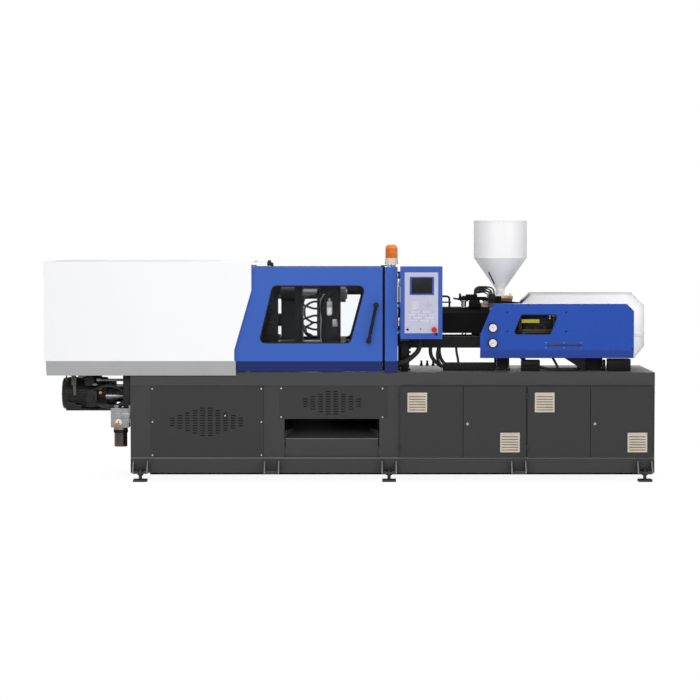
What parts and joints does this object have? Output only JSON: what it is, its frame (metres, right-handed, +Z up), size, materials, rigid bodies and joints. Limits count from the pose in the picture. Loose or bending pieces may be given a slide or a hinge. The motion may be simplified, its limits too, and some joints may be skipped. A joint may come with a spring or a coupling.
{
  "type": "injection moulding machine",
  "caption": "Horizontal toggle-clamp injection moulding machine with white clamp cover, blue sliding gate, swivelling control panel, hopper and dark grey base.",
  "frame": {"origin": "on the floor, in the middle of the anchor holes of the four corner foot pads", "axes": "+X from the clamp to the injection unit, -Y the operator's side, +Z up"},
  "size_m": [5.388, 1.433, 2.299],
  "materials": {
    "frame_grey": "satin textured paint",
    "deck_grey": "satin textured paint",
    "black_steel": "satin",
    "gate_blue": "gloss powder coat",
    "guard_blue": "gloss powder coat",
    "cover_white": "satin powder coat",
    "hopper_white": "gloss enamel",
    "platen_steel": "machined",
    "bright_steel": "ground",
    "barrel_steel": "heat tinted",
    "throat_brown": "oiled",
    "window_clear": "clear polycarbonate",
    "panel_plate": "printed film",
    "black_plastic": "moulded",
    "red_plastic": "moulded",
    "cream_plastic": "moulded",
    "amber_lens": "ribbed lens",
    "reflector": "polished",
    "hose_black": "corrugated",
    "lube_body": "cast",
    "reservoir": "smoked plastic",
    "tank_grey": "satin",
    "gear_beige": "moulded",
    "gauge_rim": "pressed"
  },
  "bodies": {
    "root": {"base_frame": "frame_grey", "deck_frame": "deck_grey", "levelling_feet": "black_steel", "base_panels": "frame_grey", "drop_chute": "frame_grey", "oil_tank": "tank_grey", "pump_motor": "black_steel", "lube_pump": "lube_body", "lube_reservoir": "reservoir", "front_cover": "cover_white", "rear_cover": "cover_white", "roof_cover": "cover_white", "fixed_platen": "platen_steel", "tie_bars": "bright_steel", "guard_columns": "gate_blue", "gate_rails": "bright_steel", "beacon_base": "cream_plastic", "beacon_dome": "amber_lens", "panel_hinge": "black_steel", "switchgear": "gear_beige", "carriage_rails": "black_steel", "panel_conduit": "hose_black", "barrel_hose": "hose_black"},
    "rear_platen": {"rear_platen": "platen_steel", "clamp_cylinder": "black_steel"},
    "crosshead": {"crosshead": "bright_steel"},
    "rear_link_upper": {"rear_link_upper": "platen_steel"},
    "rear_link_lower": {"rear_link_lower": "platen_steel"},
    "crosshead_link_upper": {"crosshead_link_upper": "platen_steel"},
    "crosshead_link_lower": {"crosshead_link_lower": "platen_steel"},
    "moving_platen": {"moving_platen": "platen_steel"},
    "front_link_upper": {"front_link_upper": "platen_steel"},
    "front_link_lower": {"front_link_lower": "platen_steel"},
    "ejector": {"ejector_rod": "bright_steel"},
    "front_gate": {"front_gate_panel": "gate_blue", "front_gate_window": "window_clear", "front_gate_handle": "black_plastic"},
    "rear_gate": {"rear_gate_panel": "gate_blue", "rear_gate_window": "window_clear"},
    "control_panel": {"panel_housing": "gate_blue", "panel_fascia": "panel_plate"},
    "estop": {"estop_button": "red_plastic"},
    "door_1": {"cabinet_door_1": "frame_grey"},
    "door_2": {"cabinet_door_2": "frame_grey"},
    "door_3": {"cabinet_door_3": "frame_grey"},
    "door_4": {"cabinet_door_4": "frame_grey"},
    "latch_1": {"door_latch_1": "black_plastic"},
    "latch_2": {"door_latch_2": "black_plastic"},
    "carriage": {"carriage_frame": "platen_steel", "injection_guard": "guard_blue", "rear_guard": "cover_white", "barrel": "barrel_steel", "barrel_guard": "black_steel", "throat_block": "throat_brown", "hopper": "hopper_white", "pressure_gauges": "gauge_rim"},
    "hopper_lid": {"hopper_lid": "hopper_white"},
    "ram": {"screw_drive": "black_steel"},
    "screw": {"screw": "bright_steel"},
    "beacon_reflector": {"beacon_reflector": "reflector"}
  },
  "joints": [
    {"name": "mould_height_slide", "type": "slide", "parent": "root", "child": "rear_platen", "axis": [-1, 0, 0], "range_m": [0, 0.34]},
    {"name": "platen_slide", "type": "slide", "parent": "rear_platen", "child": "moving_platen", "axis": [-1, 0, 0], "range_m": [0, 0.41]},
    {"name": "crosshead_slide", "type": "slide", "parent": "rear_platen", "child": "crosshead", "axis": [-1, 0, 0], "range_m": [0, 0.18]},
    {"name": "rear_link_upper_hinge", "type": "hinge", "parent": "rear_platen", "child": "rear_link_upper", "pos_m": [-1.65, 0, 1.71], "axis": [0, 1, 0], "range_deg": [0, 92]},
    {"name": "rear_link_lower_hinge", "type": "hinge", "parent": "rear_platen", "child": "rear_link_lower", "pos_m": [-1.65, 0, 1.09], "axis": [0, -1, 0], "range_deg": [0, 92]},
    {"name": "front_link_upper_hinge", "type": "hinge", "parent": "moving_platen", "child": "front_link_upper", "pos_m": [-1.05, 0, 1.71], "axis": [0, -1, 0], "range_deg": [0, 56]},
    {"name": "front_link_lower_hinge", "type": "hinge", "parent": "moving_platen", "child": "front_link_lower", "pos_m": [-1.05, 0, 1.09], "axis": [0, 1, 0], "range_deg": [0, 56]},
    {"name": "crosshead_link_upper_hinge", "type": "hinge", "parent": "crosshead", "child": "crosshead_link_upper", "pos_m": [-1.409, 0, 1.46], "axis": [0, -1, 0], "range_deg": [0, 41]},
    {"name": "crosshead_link_lower_hinge", "type": "hinge", "parent": "crosshead", "child": "crosshead_link_lower", "pos_m": [-1.409, 0, 1.34], "axis": [0, 1, 0], "range_deg": [0, 41]},
    {"name": "ejector_slide", "type": "slide", "parent": "moving_platen", "child": "ejector", "axis": [1, 0, 0], "range_m": [0, 0.12]},
    {"name": "front_gate_slide", "type": "slide", "parent": "root", "child": "front_gate", "axis": [-1, 0, 0], "range_m": [0, 0.95]},
    {"name": "rear_gate_slide", "type": "slide", "parent": "root", "child": "rear_gate", "axis": [-1, 0, 0], "range_m": [0, 0.95]},
    {"name": "carriage_slide", "type": "slide", "parent": "root", "child": "carriage", "axis": [-1, 0, 0], "range_m": [-0.03, 0.25]},
    {"name": "ram_slide", "type": "slide", "parent": "carriage", "child": "ram", "axis": [1, 0, 0], "range_m": [0, 0.2]},
    {"name": "screw_turn", "type": "hinge", "parent": "ram", "child": "screw", "pos_m": [0.4, 0, 1.4], "axis": [1, 0, 0], "continuous": true},
    {"name": "hopper_lid_hinge", "type": "hinge", "parent": "carriage", "child": "hopper_lid", "pos_m": [0.98, 0.251, 2.293], "axis": [-1, 0, 0], "range_deg": [0, 100]},
    {"name": "panel_swivel", "type": "hinge", "parent": "root", "child": "control_panel", "pos_m": [0.0547, -0.64, 1.57], "axis": [0, 0, 1], "range_deg": [-90, 0]},
    {"name": "estop_press", "type": "slide", "parent": "control_panel", "child": "estop", "axis": [0, 1, 0], "range_m": [0, 0.006], "stiffness_N_per_m": 400},
    {"name": "door_1_hinge", "type": "hinge", "parent": "root", "child": "door_1", "pos_m": [0.065, -0.603, 0.52], "axis": [0, 0, 1], "range_deg": [-90, 0]},
    {"name": "door_2_hinge", "type": "hinge", "parent": "root", "child": "door_2", "pos_m": [1.177, -0.603, 0.52], "axis": [0, 0, 1], "range_deg": [0, 90]},
    {"name": "door_3_hinge", "type": "hinge", "parent": "root", "child": "door_3", "pos_m": [1.187, -0.603, 0.52], "axis": [0, 0, 1], "range_deg": [-90, 0]},
    {"name": "door_4_hinge", "type": "hinge", "parent": "root", "child": "door_4", "pos_m": [2.299, -0.603, 0.52], "axis": [0, 0, 1], "range_deg": [0, 90]},
    {"name": "latch_1_turn", "type": "hinge", "parent": "door_2", "child": "latch_1", "pos_m": [0.659, -0.597, 0.505], "axis": [0, 1, 0], "range_deg": [0, 90]},
    {"name": "latch_2_turn", "type": "hinge", "parent": "door_4", "child": "latch_2", "pos_m": [1.781, -0.597, 0.505], "axis": [0, 1, 0], "range_deg": [0, 90]},
    {"name": "reflector_turn", "type": "hinge", "parent": "root", "child": "beacon_reflector", "pos_m": [-0.01005, -0.565, 1.985], "axis": [0, 0, 1], "continuous": true}
  ],
  "couplings": [
    {"joint": "crosshead_slide", "follows": "platen_slide", "ratio": 0.4273},
    {"joint": "rear_link_upper_hinge", "follows": "platen_slide", "rad_per_m": 3.8287},
    {"joint": "front_link_upper_hinge", "follows": "platen_slide", "rad_per_m": 2.3357},
    {"joint": "crosshead_link_upper_hinge", "follows": "platen_slide", "rad_per_m": 1.6538},
    {"joint": "rear_link_lower_hinge", "follows": "platen_slide", "rad_per_m": 3.8287},
    {"joint": "front_link_lower_hinge", "follows": "platen_slide", "rad_per_m": 2.3357},
    {"joint": "crosshead_link_lower_hinge", "follows": "platen_slide", "rad_per_m": 1.6538}
  ]
}
